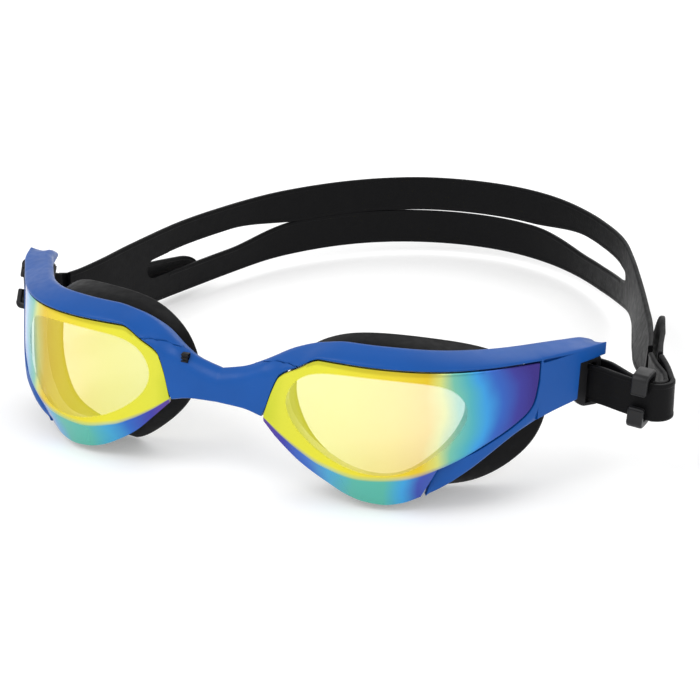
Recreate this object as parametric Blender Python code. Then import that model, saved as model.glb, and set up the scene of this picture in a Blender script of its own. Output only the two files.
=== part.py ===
"""Swim goggles: two mirrored lenses in a wrap-around frame, silicone gaskets and a split strap.

Row frame: +X to the wearer's left, +Y to the back of the head, +Z up.
Lengths below are millimetres, from the middle of the nose bridge and the line along the lenses' tops.
new_object() turns them into metres from the origin: the middle of the whole, on the surface under it.
"""
import math

import bmesh
import bpy
import numpy as np
from mathutils import Vector

MM = 0.001
GAP = 0.3                    # clearance between neighbouring pieces
SIDES = (("left", 1), ("right", -1))
FLOOR = -34.3                # height of the surface that the gaskets stand on
ORIGIN = (5.9, 88.9, FLOOR)

# The front surface: a plan curve from the nose to the temple, leaning back at the top.
WRAP_ANGLE = math.radians(57.0)
WRAP_START = 24.4            # length along the curve where the wrap begins
WRAP_END = 80.0              # length along the curve where the temple is straight
LEAN = 0.136                 # set back for each millimetre of height

# The lens: its edges as (length along the wrap, height), and its bevelled lower part.
LENS_TOP = [(12.9, -14.0), (14.9, -7.5), (16.6, -4.0), (21.2, -1.4), (26.9, 1.4), (41.9, 1.1), (60.8, 0.2),
            (82.8, -1.2)]
LENS_CREASE = [(12.9, -14.6), (17.6, -18.0), (23.1, -21.2), (28.5, -23.6), (38.7, -25.6), (48.2, -25.0),
               (57.5, -22.6), (67.3, -18.8), (79.3, -13.4), (81.4, -11.4), (82.4, -8.6), (82.8, -5.0)]
LENS_BOTTOM = [(12.9, -15.6), (17.0, -19.6), (22.6, -24.8), (28.3, -28.7), (33.8, -31.4), (39.1, -32.7),
               (44.2, -33.1), (49.1, -32.5), (54.0, -31.0)]
LENS_STATIONS = [12.9, 14.0, 15.5, 17.0, 19.0, 21.2, 24.0, 26.9, 30.5, 34.5, 38.5, 42.0, 46.0, 50.0, 54.0,
                 56.9, 60.0, 64.0, 68.0, 72.0, 76.0, 79.3, 81.4, 82.4, 82.8]
BEVEL_DEPTH = 4.0
BEVEL_START = 12.9
BEVEL_FULL = 33.0
CHAMFER = 0.25
LENS_THICK = 1.8

# The frame: brow, temple and lower rim, as heights and as depths behind the front surface.
BROW_TOP = [(0.0, -5.4), (6.0, -3.9), (12.0, -1.2), (18.0, 1.8), (25.0, 4.0), (32.0, 5.0), (42.0, 4.9),
            (60.0, 3.8), (80.0, 1.9), (95.0, 0.6), (99.0, 0.0), (102.0, -1.4)]
BRIDGE_BOTTOM = [(0.0, -13.3), (7.0, -13.6), (12.6, -14.8)]
BRIDGE_STATIONS = [0.0, 3.0, 6.0, 9.0, 11.0, 12.6, 13.5, 14.9, 16.6, 19.0, 21.4]
BROW_STATIONS = [21.8, 24.0, 26.9, 30.5, 34.5, 38.5, 42.0, 46.0, 50.0, 55.0, 60.0, 65.0, 70.0, 75.0, 79.0,
                 83.0, 83.4, 86.0, 90.0, 94.8, 95.2, 98.0, 100.5, 102.0]
BROW_DEPTH = 7.2
BRIDGE_DEPTH = 4.6
PROUD = 0.2                  # how far the frame stands in front of the lens
LENS_END = 83.2
PANEL_END = 95.0
PANEL_DEPTH = 1.6
HOOD_UNDERSIDE = -3.9
TEMPLE_BOTTOM = [(82.0, -15.6), (88.0, -14.2), (95.0, -12.9)]
RIM_TOP = [(55.3, -30.2), (57.5, -23.1), (67.3, -19.3), (79.4, -13.9), (81.7, -11.7), (82.8, -8.8),
           (83.2, -5.0), (86.0, -5.0)]
RIM_BOTTOM = [(55.0, -31.0), (58.5, -28.6), (67.6, -22.8), (78.4, -17.2), (86.0, -14.7)]
RIM_FRONT = [(55.0, -3.6), (58.5, -1.6), (62.0, -0.5), (67.0, 0.15), (86.0, 0.15)]
RIM_STATIONS = [55.3, 56.4, 57.5, 60.0, 64.0, 68.0, 72.0, 76.0, 79.4, 81.7, 82.8, 83.3, 85.0]
RIM_THICK = 1.7

# The eye opening, the clear carrier behind the lens and the silicone gasket that seals to the face.
EYE = [(18.6, -8.2), (22.2, -3.2), (30.0, -1.0), (46.7, -1.1), (58.6, -3.4), (63.6, -9.4), (60.6, -15.9),
       (51.6, -22.4), (43.5, -24.4), (34.4, -23.1), (25.6, -19.0), (19.8, -13.6)]
EYE_STEPS = 4                # samples between two points of the eye opening
CARRIER_INSET = 0.2
CARRIER_WIDTH = 1.3
CARRIER_FRONT = 2.4
CARRIER_BACK = 4.5
GASKET_FRONT = 4.8
# The gasket's outer edge on the face: across, back and height, in step with the points of EYE.
GASKET_RIM = [(12.8, 14.0, -11.0), (16.6, 14.2, -2.2), (27.0, 17.2, 2.7), (44.0, 22.5, 2.6),
              (58.0, 33.0, -2.2), (68.0, 41.5, -12.0), (64.5, 38.0, -24.0), (54.5, 24.5, FLOOR),
              (42.0, 17.0, FLOOR), (31.0, 14.2, FLOOR), (20.5, 12.6, -27.0), (14.6, 13.4, -19.6)]
GASKET_WALL = 1.6
GASKET_LIP = 1.2

# The temple anchors that hold the strap: a strip with a window, whose end is the strap's bar.
ANCHOR_STATIONS = [86.0, 90.0, 95.0, 98.0, 100.5, 103.0]
ANCHOR_FRONT = 1.9
ANCHOR_THICK = 1.6
ANCHOR_TOP = -4.2
ANCHOR_BOTTOM = [(86.0, -13.4), (95.0, -14.8), (98.0, -16.6), (103.0, -16.6)]
WINDOW_SPAN = (98.5, 101.6)
WINDOW_HEIGHT = (-15.4, -5.2)

# The strap: a band that splits in two round the back of the head.
STRAP_THICK = 1.3
# Its route from the right temple to the left one: x, y, height of its top and of its bottom edge.
STRAP_ROUTE = [
    (-80.2, 60.8, -12.7, -23.2), (-78.7, 65.6, -12.6, -25.4), (-76.6, 74.0, -12.0, -28.2),
    (-74.4, 86.0, -11.2, -31.2), (-70.3, 106.0, -10.3, -32.0), (-65.0, 123.0, -10.0, -31.6),
    (-58.8, 139.0, -10.0, -31.0), (-52.0, 150.5, -10.0, -30.8), (-43.5, 161.0, -10.0, -30.8),
    (-34.0, 169.4, -10.0, -31.0), (-23.0, 175.8, -10.0, -31.3), (-11.0, 179.4, -10.1, -31.5),
    (1.0, 180.4, -10.2, -31.7), (12.0, 178.6, -10.1, -31.8), (23.0, 174.2, -10.0, -31.8),
    (33.4, 167.4, -10.0, -31.7), (43.9, 157.4, -9.8, -31.2), (52.2, 145.4, -9.6, -29.6),
    (59.0, 131.0, -9.4, -26.4), (65.2, 115.4, -9.0, -23.0), (71.0, 99.6, -8.4, -20.2),
    (76.7, 84.4, -7.6, -18.2), (82.6, 71.4, -6.8, -17.0), (87.4, 62.6, -6.8, -16.8)]
SPLIT_AT = (94.0, 138.0)     # how far back the slot ends, at the right and at the left
SLOT_STUB = 6.0              # how far the yokes reach past the slot's ends
BRANCH_WIDTH = 7.6
BRANCH_GAP = 1.7             # room between a yoke and a branch, for the branch to swing
PAD_MIDDLE = (-24.0, 175.3)
PAD_WIDTH = 10.2
PAD_FULL = 38.0              # length from the pads' middle over which they are full width
PAD_NONE = 66.0

# The strap's loops through the anchors: x, y and height of the middle of each layer's route.
LOOP_WIDTH = 9.6
LOOP_TURN = 2.3              # radius of the turn round the anchor's bar
LOOP_HEIGHT = -10.3          # middle height of the strap at the bar
LEFT_OUTER = [(83.2, 41.0, -10.4), (86.5, 40.3, -10.7), (90.0, 40.0, -11.2), (93.5, 39.85, -11.6),
              (95.9, 39.75, -11.9)]
LEFT_INNER = [(83.6, 45.2, -10.4), (86.8, 43.4, -10.7), (90.0, 41.9, -11.2), (93.2, 41.35, -11.6),
              (95.9, 41.35, -11.9)]
LEFT_TURN_CENTRE = (95.9, 43.5)
LEFT_TURN_SWEEP = 128.0
LEFT_HEAD_END = (89.4, 59.0, -11.8)
LEFT_TAIL_START = (92.4, 57.8, -11.4)
LEFT_TAIL = [(91.9, 58.8, -11.3), (89.8, 64.0, -10.9), (87.6, 70.5, -10.4), (85.5, 77.0, -9.8),
             (83.6, 84.0, -9.0)]
RIGHT_OUTER_END = [(-84.7, 57.6, -16.9), (-83.4, 59.6, -17.7)]
RIGHT_INNER_END = [(-83.0, 57.3, -16.8), (-81.7, 59.1, -17.5)]
RIGHT_TAIL = [(-83.0, 60.3, -17.9), (-80.9, 66.5, -19.4), (-78.9, 75.0, -21.4), (-76.8, 87.0, -23.6),
              (-74.8, 98.0, -25.0), (-72.9, 108.1, -26.6), (-70.9, 116.8, -27.9)]
TAIL_POINT = 9.0             # length of a tail's rounded tip

# The buckles: a ring round both layers, whose outer bar is open in the middle.
BUCKLE_AT = {"left": ((93.0, 40.65, -11.5), (1.0, -0.02, -0.08)),
             "right": ((-84.7, 52.4, -14.5), (-0.05, 0.92, -0.40))}
BUCKLE_REACH = 3.2           # half of the straight stretch of the layers through a buckle
BUCKLE_ROOM = (3.9, 10.4)
BUCKLE_BAR = 1.6
BUCKLE_RAIL = 1.8
BUCKLE_LENGTH = 4.0
BUCKLE_MOUTH = 3.2
BUCKLE_CORNER = 0.8

COLOURS = {
    "frame_blue": ((0.028, 0.135, 0.48), 0.38, 0.0),
    "lens_mirror": ((0.85, 0.78, 0.08), 0.08, 0.85),
    "carrier_clear": ((0.75, 0.80, 0.82), 0.15, 0.0),
    "gasket_silicone": ((0.022, 0.022, 0.024), 0.55, 0.0),
    "anchor_black": ((0.018, 0.018, 0.020), 0.42, 0.0),
    "buckle_black": ((0.030, 0.030, 0.032), 0.45, 0.0),
    "strap_silicone": ((0.020, 0.020, 0.022), 0.60, 0.0),
}


def clear_scene():
    for old in list(bpy.data.objects):
        bpy.data.objects.remove(old, do_unlink=True)


def new_collection(name):
    collection = bpy.data.collections.new(name)
    bpy.context.scene.collection.children.link(collection)
    return collection


def principled(name):
    colour, roughness, metallic = COLOURS[name]
    material = bpy.data.materials.new(name)
    material.use_nodes = True
    shader = material.node_tree.nodes["Principled BSDF"]
    shader.inputs["Base Color"].default_value = (*colour, 1.0)
    shader.inputs["Roughness"].default_value = roughness
    shader.inputs["Metallic"].default_value = metallic
    return material


def read_off(points, at):
    """Height (or depth) at a length along the wrap, on straight lines between the points."""
    xs, values = zip(*points)
    return float(np.interp(at, xs, values))


def smooth_step(value, start, full):
    t = min(max((value - start) / (full - start), 0.0), 1.0)
    return t * t * (3.0 - 2.0 * t)


def wrap_table(step=0.25, reach=130.0):
    """The plan curve as rows of length, x, y and heading."""
    rows = [(0.0, 0.0, 0.0, 0.0)]
    while rows[-1][0] < reach:
        length, x, y, _ = rows[-1]
        middle = WRAP_ANGLE * smooth_step(length + step / 2, WRAP_START, WRAP_END)
        heading = WRAP_ANGLE * smooth_step(length + step, WRAP_START, WRAP_END)
        rows.append((length + step, x + step * math.cos(middle), y + step * math.sin(middle), heading))
    return np.array(rows)


WRAP = wrap_table()


def on_wrap(length, height, depth, side):
    """A point behind the front surface, from its length along the wrap, its height and its depth."""
    x, y, heading = (np.interp(length, WRAP[:, 0], WRAP[:, column]) for column in (1, 2, 3))
    return (side * (x - depth * math.sin(heading)), y + depth * math.cos(heading) + LEAN * height, height)


BAR = on_wrap((WINDOW_SPAN[1] + ANCHOR_STATIONS[-1]) / 2, LOOP_HEIGHT, ANCHOR_FRONT + ANCHOR_THICK / 2, 1)


def smooth_path(points, samples, closed=False):
    """Points along a Catmull-Rom curve through the given ones."""
    knots = np.array(points, dtype=float)
    count = len(knots)
    spans = count if closed else count - 1
    path = []
    for span in range(spans):
        if closed:
            before, start, end, after = (knots[(span + k) % count] for k in (-1, 0, 1, 2))
        else:
            before, start = knots[max(span - 1, 0)], knots[span]
            end, after = knots[span + 1], knots[min(span + 2, count - 1)]
        for step in range(samples):
            t = step / samples
            path.append(0.5 * (2 * start + (end - before) * t
                               + (2 * before - 5 * start + 4 * end - after) * t ** 2
                               + (3 * start - before - 3 * end + after) * t ** 3))
    if not closed:
        path.append(knots[-1])
    return np.array(path)


def run_lengths(path):
    """Length along a path, in plan, at each of its points."""
    steps = np.hypot(*np.diff(np.asarray(path)[:, :2], axis=0).T)
    return np.concatenate([[0.0], np.cumsum(steps)])


def new_object(name, mesh_source, material, collection, pivot=ORIGIN):
    """An object from a bmesh in millimetres. A moving piece's pivot is a point on its joint's axis."""
    bmesh.ops.triangulate(mesh_source, faces=[f for f in mesh_source.faces if len(f.verts) > 4])
    bmesh.ops.recalc_face_normals(mesh_source, faces=mesh_source.faces)
    for vert in mesh_source.verts:
        vert.co = (vert.co - Vector(pivot)) * MM
    mesh = bpy.data.meshes.new(name)
    mesh_source.to_mesh(mesh)
    mesh_source.free()
    obj = bpy.data.objects.new(name, mesh)
    obj.location = (Vector(pivot) - Vector(ORIGIN)) * MM
    collection.objects.link(obj)
    if material:
        mesh.materials.append(material)
        mesh.shade_smooth()
        mesh.set_sharp_from_angle(angle=math.radians(35.0))
    return obj


def loft(name, rings, material, collection, closed=False, pivot=ORIGIN):
    """A solid through rings of equal count: capped at its ends, or joined end to start."""
    source = bmesh.new()
    rows = [[source.verts.new(point) for point in ring] for ring in rings]
    count = len(rows[0])
    pairs = list(zip(rows, rows[1:]))
    if closed:
        pairs.append((rows[-1], rows[0]))
    for first, second in pairs:
        for i in range(count):
            j = (i + 1) % count
            source.faces.new((first[i], first[j], second[j], second[i]))
    if not closed:
        source.faces.new(rows[0])
        source.faces.new(rows[-1])
    return new_object(name, source, material, collection, pivot)


def boolean(target, cutter, operation):
    modifier = target.modifiers.new(operation.lower(), "BOOLEAN")
    modifier.operation = operation
    modifier.object = cutter
    cutter.hide_render = True
    cutter.display_type = "WIRE"


def ribbon_rings(path, thickness):
    """Upright rectangles along a path whose rows are x, y, top and bottom."""
    path = np.asarray(path, dtype=float)
    tangents = np.gradient(path[:, :2], axis=0)
    tangents /= np.linalg.norm(tangents, axis=1)[:, None]
    rings = []
    for (x, y, top, bottom), (along_x, along_y) in zip(path, tangents):
        across = np.array([along_y, -along_x]) * thickness / 2
        outer = (x + across[0], y + across[1])
        inner = (x - across[0], y - across[1])
        rings.append([(*outer, bottom), (*outer, top), (*inner, top), (*inner, bottom)])
    return rings


def row_middle(row):
    """The middle of one row of a path of x, y, top and bottom."""
    x, y, top, bottom = row
    return (x, y, (top + bottom) / 2)


def band(route, width):
    """A route of x, y and middle height, as rows of x, y, top and bottom."""
    return [(x, y, z + width / 2, z - width / 2) for x, y, z in route]


def make_bridge(parts, material):
    """Nose bridge: one bar across the nose, whose ends fit round the lenses' inner edges."""
    def section(signed):
        length, side = abs(signed), 1 if signed >= 0 else -1
        top = read_off(BROW_TOP, length)
        bottom = read_off(BRIDGE_BOTTOM, length)
        if length > BRIDGE_BOTTOM[-1][0]:
            bottom = read_off(LENS_TOP, length) + GAP
        depth = BRIDGE_DEPTH + (BROW_DEPTH - BRIDGE_DEPTH) * smooth_step(length, 6.0, 20.0)
        profile = [(bottom, 0.6), (bottom + 0.5, -PROUD), (top - 1.6, 0.5), (top - 0.3, 1.8),
                   (top, 0.7 * depth), (top - 1.0, depth), (bottom + 0.9, depth), (bottom, 0.6 * depth)]
        return [on_wrap(length, height, back, side) for height, back in profile]
    stations = [-s for s in reversed(BRIDGE_STATIONS[1:])] + BRIDGE_STATIONS
    loft("nose_bridge", [section(s) for s in stations], material, parts)


def make_frame(name, side, parts, cutters, material):
    """Brow, hood and temple panel in one loft, joined with the lower rim."""
    def brow_section(length):
        lens_line = read_off(LENS_TOP, length) + GAP
        bottom, under, panel = lens_line, lens_line + 0.4, PANEL_DEPTH + 1.0
        if length > LENS_END:
            bottom, under, panel = read_off(TEMPLE_BOTTOM, length), HOOD_UNDERSIDE, PANEL_DEPTH
        if length > PANEL_END:
            bottom = HOOD_UNDERSIDE - 0.1
        top = read_off(BROW_TOP, length)
        rise = top - lens_line
        profile = [(bottom, 0.4), (bottom + 0.3, -PROUD), (lens_line + 0.15 * rise + 0.2, -PROUD),
                   (lens_line + 0.6 * rise, 1.6), (top - 0.3, 4.4), (top, 5.6), (top - 0.9, BROW_DEPTH),
                   (under + 0.2, BROW_DEPTH), (under, panel), (bottom, PANEL_DEPTH)]
        return [on_wrap(length, height, depth, side) for height, depth in profile]

    def rim_section(length):
        top, bottom = read_off(RIM_TOP, length), read_off(RIM_BOTTOM, length)
        front = -read_off(RIM_FRONT, length)
        profile = [(bottom, front + 0.7), (bottom + 0.3 * (top - bottom), front), (top, front - 0.05),
                   (top, front + RIM_THICK), (bottom + 0.1 * (top - bottom), front + RIM_THICK + 0.4)]
        return [on_wrap(length, height, depth, side) for height, depth in profile]

    frame = loft(name, [brow_section(s) for s in BROW_STATIONS], material, parts)
    rim = loft(name + "_rim", [rim_section(s) for s in RIM_STATIONS], None, cutters)
    boolean(frame, rim, "UNION")


def make_lens(name, side, parts, material):
    """A wrapped shell whose lower part turns back at the crease."""
    def section(length):
        top, crease = read_off(LENS_TOP, length), read_off(LENS_CREASE, length)
        bottom, back = crease - CHAMFER, CHAMFER
        if length <= LENS_BOTTOM[-1][0]:
            bottom = read_off(LENS_BOTTOM, length)
            back = max(BEVEL_DEPTH * smooth_step(length, BEVEL_START, BEVEL_FULL), CHAMFER)
        third = (top - crease) / 3
        front = [(bottom, back), (crease, 0.0), (crease + third, 0.0), (top - third, 0.0), (top, 0.0)]
        inset = min(0.3, 0.1 * (top - crease))
        rear = [(top, LENS_THICK), (top - third, LENS_THICK), (crease + third, LENS_THICK),
                (crease + inset, LENS_THICK), (bottom + inset, back + 0.7 * LENS_THICK)]
        return [on_wrap(length, height, depth, side) for height, depth in front + rear]
    loft(name, [section(s) for s in LENS_STATIONS], material, parts)


def eye_outline(offset):
    """The eye opening's smooth outline, moved outwards in the lens's own surface."""
    path = smooth_path(EYE, EYE_STEPS, closed=True)
    tangents = np.roll(path, -1, axis=0) - np.roll(path, 1, axis=0)
    tangents /= np.linalg.norm(tangents, axis=1)[:, None]
    return path + offset * np.stack([-tangents[:, 1], tangents[:, 0]], axis=1)


def make_carrier(name, side, parts, material):
    """A clear ring behind the lens that the gasket is moulded to."""
    inner = eye_outline(CARRIER_INSET)
    outer = eye_outline(CARRIER_INSET + CARRIER_WIDTH)
    rings = [[on_wrap(*inside, CARRIER_FRONT, side), on_wrap(*outside, CARRIER_FRONT, side),
              on_wrap(*outside, CARRIER_BACK, side), on_wrap(*inside, CARRIER_BACK, side)]
             for inside, outside in zip(inner, outer)]
    loft(name, rings, material, parts, closed=True)


def make_gasket(name, side, parts, material):
    """A soft cup wall from the carrier to the face, ending in a lip turned towards the eye."""
    inner = eye_outline(CARRIER_INSET + 0.1)
    outer = eye_outline(CARRIER_INSET + CARRIER_WIDTH)
    rim = smooth_path(GASKET_RIM, EYE_STEPS, closed=True) * np.array([side, 1.0, 1.0])
    rim[:, 2] = np.maximum(rim[:, 2], FLOOR)
    middle = rim.mean(axis=0)
    rings = []
    for inside, outside, edge in zip(inner, outer, rim):
        throat_in = np.array(on_wrap(*inside, GASKET_FRONT, side))
        throat_out = np.array(on_wrap(*outside, GASKET_FRONT, side))
        towards = middle - edge
        towards[1] = 0.0
        towards /= np.linalg.norm(towards)
        belly = 0.45 * throat_out + 0.55 * edge - 0.8 * towards
        lip = edge + GASKET_LIP * towards + np.array([0.0, 0.5, 0.0])
        back = np.array([0.0, -GASKET_WALL, 0.0])
        rings.append([throat_in, throat_out, belly, edge + back, edge, lip, lip + back,
                      belly + GASKET_WALL * towards, ])
    loft(name, rings, material, parts, closed=True)


def make_anchor(name, side, parts, cutters, material):
    """A strip behind the temple panel with a window near its end; what is left is the strap's bar."""
    def section(length, top, bottom, front, back):
        return [on_wrap(length, height, depth, side)
                for height, depth in ((bottom, front), (top, front), (top, back), (bottom, back))]
    back = ANCHOR_FRONT + ANCHOR_THICK
    anchor = loft(name, [section(s, ANCHOR_TOP, read_off(ANCHOR_BOTTOM, s), ANCHOR_FRONT, back)
                         for s in ANCHOR_STATIONS], material, parts)
    low, high = WINDOW_HEIGHT
    window = loft(name + "_window", [section(s, high, low, ANCHOR_FRONT - 2.0, back + 2.0)
                                     for s in WINDOW_SPAN], None, cutters)
    boolean(anchor, window, "DIFFERENCE")


def turn(centre, radius, start, sweep, heights, steps):
    """Points on a level arc; angles are degrees, and the height runs between two values."""
    points = []
    for step in range(steps + 1):
        t = step / steps
        angle = math.radians(start + sweep * t)
        points.append((centre[0] + radius * math.cos(angle), centre[1] + radius * math.sin(angle),
                       heights[0] + (heights[1] - heights[0]) * t))
    return points


def make_left_loop(parts, material):
    """The long loop: in from the head, round the buckle's turn, round the bar and out to the tail."""
    low = LEFT_INNER[-1][2]
    start = -90.0 + LEFT_TURN_SWEEP
    inner_turn = turn(LEFT_TURN_CENTRE, LEFT_TURN_CENTRE[1] - LEFT_INNER[-1][1], start, -LEFT_TURN_SWEEP,
                      (low, low), 7)
    outer_turn = turn(LEFT_TURN_CENTRE, LEFT_TURN_CENTRE[1] - LEFT_OUTER[-1][1], -90.0, LEFT_TURN_SWEEP,
                      (low, low + 0.1), 7)
    bar_turn = turn(BAR, LOOP_TURN, 84.0, 180.0, (BAR[2], BAR[2]), 8)
    route = ([LEFT_HEAD_END, (92.6, 53.2, low + 0.1), (96.2, 48.2, low)] + inner_turn
             + list(reversed(LEFT_INNER[:-1])) + bar_turn + LEFT_OUTER[:-1] + outer_turn
             + [(95.8, 52.2, low + 0.2), LEFT_TAIL_START])
    loft("strap_loop_left", ribbon_rings(band(route, LOOP_WIDTH), STRAP_THICK), material, parts)


def make_right_loop(parts, material):
    """The short loop: both layers run back from the bar and straight through the buckle."""
    centre, along = (np.array(value) for value in BUCKLE_AT["right"])
    along = along / np.hypot(along[0], along[1])
    across = np.array([-along[1], along[0], 0.0]) * (STRAP_THICK + GAP) / 2
    outer = [tuple(centre + across + reach * along) for reach in (-BUCKLE_REACH, BUCKLE_REACH)]
    inner = [tuple(centre - across + reach * along) for reach in (BUCKLE_REACH, -BUCKLE_REACH)]
    bar_turn = turn((-BAR[0], BAR[1]), LOOP_TURN, 27.0, -180.0, (BAR[2], BAR[2]), 8)
    route = list(reversed(RIGHT_INNER_END)) + inner + bar_turn + outer + RIGHT_OUTER_END
    loft("strap_loop_right", ribbon_rings(band(route, LOOP_WIDTH), STRAP_THICK), material, parts)


def make_tail(name, route, parts, material):
    """A free end with a rounded tip."""
    path = smooth_path(route, 3)
    lengths = run_lengths(path)
    rows = []
    for (x, y, z), length in zip(path, lengths):
        left = (lengths[-1] - length) / TAIL_POINT
        half = LOOP_WIDTH / 2 * (math.sqrt(1.0 - (1.0 - left) ** 2) if left < 1.0 else 1.0)
        rows.append((x, y, z + max(half, 0.8), z - max(half, 0.8)))
    loft(name, ribbon_rings(rows, STRAP_THICK), material, parts, pivot=route[0])


def make_strap(parts, cutters, material):
    """The two yokes and the two branches between them, all cut from one route."""
    path = smooth_path(STRAP_ROUTE, 3)
    lengths = run_lengths(path)
    halfway = int(np.argmax(path[:, 1]))
    ends = (np.interp(SPLIT_AT[0], path[:halfway, 1], lengths[:halfway]),
            np.interp(-SPLIT_AT[1], -path[halfway:, 1], lengths[halfway:]))
    pads = lengths[np.argmin(np.hypot(path[:, 0] - PAD_MIDDLE[0], path[:, 1] - PAD_MIDDLE[1]))]

    def rows(start, end):
        """Evenly spread rows of the route between two lengths."""
        at = np.linspace(start, end, max(int((end - start) / 6.0), 3))
        return at, np.stack([np.interp(at, lengths, path[:, k]) for k in range(4)], axis=1)

    def branch_width(length):
        return PAD_WIDTH - (PAD_WIDTH - BRANCH_WIDTH) * smooth_step(abs(length - pads), PAD_FULL, PAD_NONE)

    spans = {"strap_yoke_right": (0.0, ends[0] + SLOT_STUB),
             "strap_yoke_left": (ends[1] - SLOT_STUB, lengths[-1])}
    for (name, (start, end)), slot_end, inwards in zip(spans.items(), ends, (1, -1)):
        _, yoke_rows = rows(start, end)
        hinge = yoke_rows[0 if inwards > 0 else -1]
        yoke = loft(name, ribbon_rings(yoke_rows, STRAP_THICK), material, parts, pivot=row_middle(hinge))
        slot_rows = []
        for reach in (0.0, 0.4, 1.2, 2.6, 5.0, 9.0):
            length = slot_end + inwards * reach
            x, y, top, bottom = (np.interp(length, lengths, path[:, k]) for k in range(4))
            half = (top - bottom) / 2 - branch_width(length)
            middle = (top + bottom) / 2
            if reach < half:
                half = max(math.sqrt(half ** 2 - (half - reach) ** 2), 0.4)
            slot_rows.append((x, y, middle + half, middle - half))
        slot = loft(name + "_slot", ribbon_rings(slot_rows, 4 * STRAP_THICK), None, cutters)
        boolean(yoke, slot, "DIFFERENCE")

    at, middle_rows = rows(ends[0] + SLOT_STUB + BRANCH_GAP, ends[1] - SLOT_STUB - BRANCH_GAP)
    upper, lower = middle_rows.copy(), middle_rows.copy()
    for row, length in enumerate(at):
        upper[row, 3] = upper[row, 2] - branch_width(length)
        lower[row, 2] = lower[row, 3] + branch_width(length)
    for name, branch_rows in (("strap_upper_branch", upper), ("strap_lower_branch", lower)):
        loft(name, ribbon_rings(branch_rows, STRAP_THICK), material, parts, pivot=row_middle(branch_rows[0]))


def make_buckle(name, side, parts, material):
    """A ring round both layers, with its outer bar cut open so that the strap can be hooked in."""
    centre, along = (np.array(value) for value in BUCKLE_AT[name.split("_")[1]])
    along = along / np.linalg.norm(along)
    outwards = side * np.array([along[1], -along[0], 0.0])
    outwards /= np.linalg.norm(outwards)
    up = np.cross(outwards, along) * side
    room, tall = BUCKLE_ROOM[0] / 2, BUCKLE_ROOM[1] / 2
    wide, high, mouth = room + BUCKLE_BAR, tall + BUCKLE_RAIL, BUCKLE_MOUTH / 2
    cut, ease = BUCKLE_CORNER, BUCKLE_CORNER / 2
    corners = [((wide, mouth), (room, mouth)), ((wide, high - cut), (room, tall - ease)),
               ((wide - cut, high), (room - ease, tall)), ((cut - wide, high), (ease - room, tall)),
               ((-wide, high - cut), (-room, tall - ease))]
    corners += [((w, -h), (inner_w, -inner_h)) for (w, h), (inner_w, inner_h) in reversed(corners)]

    def place(corner, end):
        return centre + corner[0] * outwards + corner[1] * up + end * along

    ends = (-BUCKLE_LENGTH / 2, BUCKLE_LENGTH / 2)
    rings = [[place(outer, ends[0]), place(outer, ends[1]), place(inner, ends[1]), place(inner, ends[0])]
             for outer, inner in corners]
    loft(name, rings, material, parts, pivot=tuple(centre))


def build():
    clear_scene()
    parts = new_collection("swim_goggles")
    cutters = new_collection("cutters")
    materials = {name: principled(name) for name in COLOURS}
    make_bridge(parts, materials["frame_blue"])
    for name, side in SIDES:
        make_frame("frame_" + name, side, parts, cutters, materials["frame_blue"])
        make_lens("lens_" + name, side, parts, materials["lens_mirror"])
        make_carrier("lens_carrier_" + name, side, parts, materials["carrier_clear"])
        make_gasket("gasket_" + name, side, parts, materials["gasket_silicone"])
        make_anchor("temple_anchor_" + name, side, parts, cutters, materials["anchor_black"])
        make_buckle("buckle_" + name, side, parts, materials["buckle_black"])
    make_left_loop(parts, materials["strap_silicone"])
    make_right_loop(parts, materials["strap_silicone"])
    make_tail("strap_tail_left", LEFT_TAIL, parts, materials["strap_silicone"])
    make_tail("strap_tail_right", RIGHT_TAIL, parts, materials["strap_silicone"])
    make_strap(parts, cutters, materials["strap_silicone"])


build()
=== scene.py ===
"""The looks of the swim goggles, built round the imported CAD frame.

Lengths are millimetres in the CAD's own design space: from the middle of the nose bridge and the line
along the lenses' tops. new_piece() turns them into metres in the row frame.
"""
import math

import bmesh
import bpy
import numpy as np
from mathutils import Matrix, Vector


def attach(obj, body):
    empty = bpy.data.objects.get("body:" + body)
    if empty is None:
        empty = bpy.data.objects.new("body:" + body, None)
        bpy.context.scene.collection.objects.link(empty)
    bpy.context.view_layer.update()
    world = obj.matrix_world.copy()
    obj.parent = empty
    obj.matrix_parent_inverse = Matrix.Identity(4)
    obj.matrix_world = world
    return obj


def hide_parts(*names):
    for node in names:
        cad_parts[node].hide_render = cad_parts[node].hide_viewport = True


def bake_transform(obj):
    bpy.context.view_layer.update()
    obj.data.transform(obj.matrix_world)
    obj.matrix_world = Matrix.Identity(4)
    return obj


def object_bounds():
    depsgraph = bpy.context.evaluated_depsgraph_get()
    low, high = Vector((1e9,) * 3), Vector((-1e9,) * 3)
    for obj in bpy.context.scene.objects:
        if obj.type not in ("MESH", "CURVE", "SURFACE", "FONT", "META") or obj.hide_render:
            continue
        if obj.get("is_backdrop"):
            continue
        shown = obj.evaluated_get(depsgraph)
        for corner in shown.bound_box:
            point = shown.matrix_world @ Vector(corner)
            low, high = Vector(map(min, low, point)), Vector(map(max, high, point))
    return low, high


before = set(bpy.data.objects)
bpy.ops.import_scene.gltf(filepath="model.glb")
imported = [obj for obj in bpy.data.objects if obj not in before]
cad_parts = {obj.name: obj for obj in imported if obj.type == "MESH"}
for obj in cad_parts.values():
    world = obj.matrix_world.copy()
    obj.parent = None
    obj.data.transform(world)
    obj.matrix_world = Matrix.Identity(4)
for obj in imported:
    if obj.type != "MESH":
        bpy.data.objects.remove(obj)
cad_low, cad_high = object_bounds()

MM = 0.001
GAP = 0.3
SIDES = (("left", 1), ("right", -1))
FLOOR = -34.3
ORIGIN = (5.9, 88.9, FLOOR)

# The front surface: a plan curve from the nose to the temple, leaning back at the top.
WRAP_ANGLE = math.radians(57.0)
WRAP_START = 24.4
WRAP_END = 80.0
LEAN = 0.136

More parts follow.
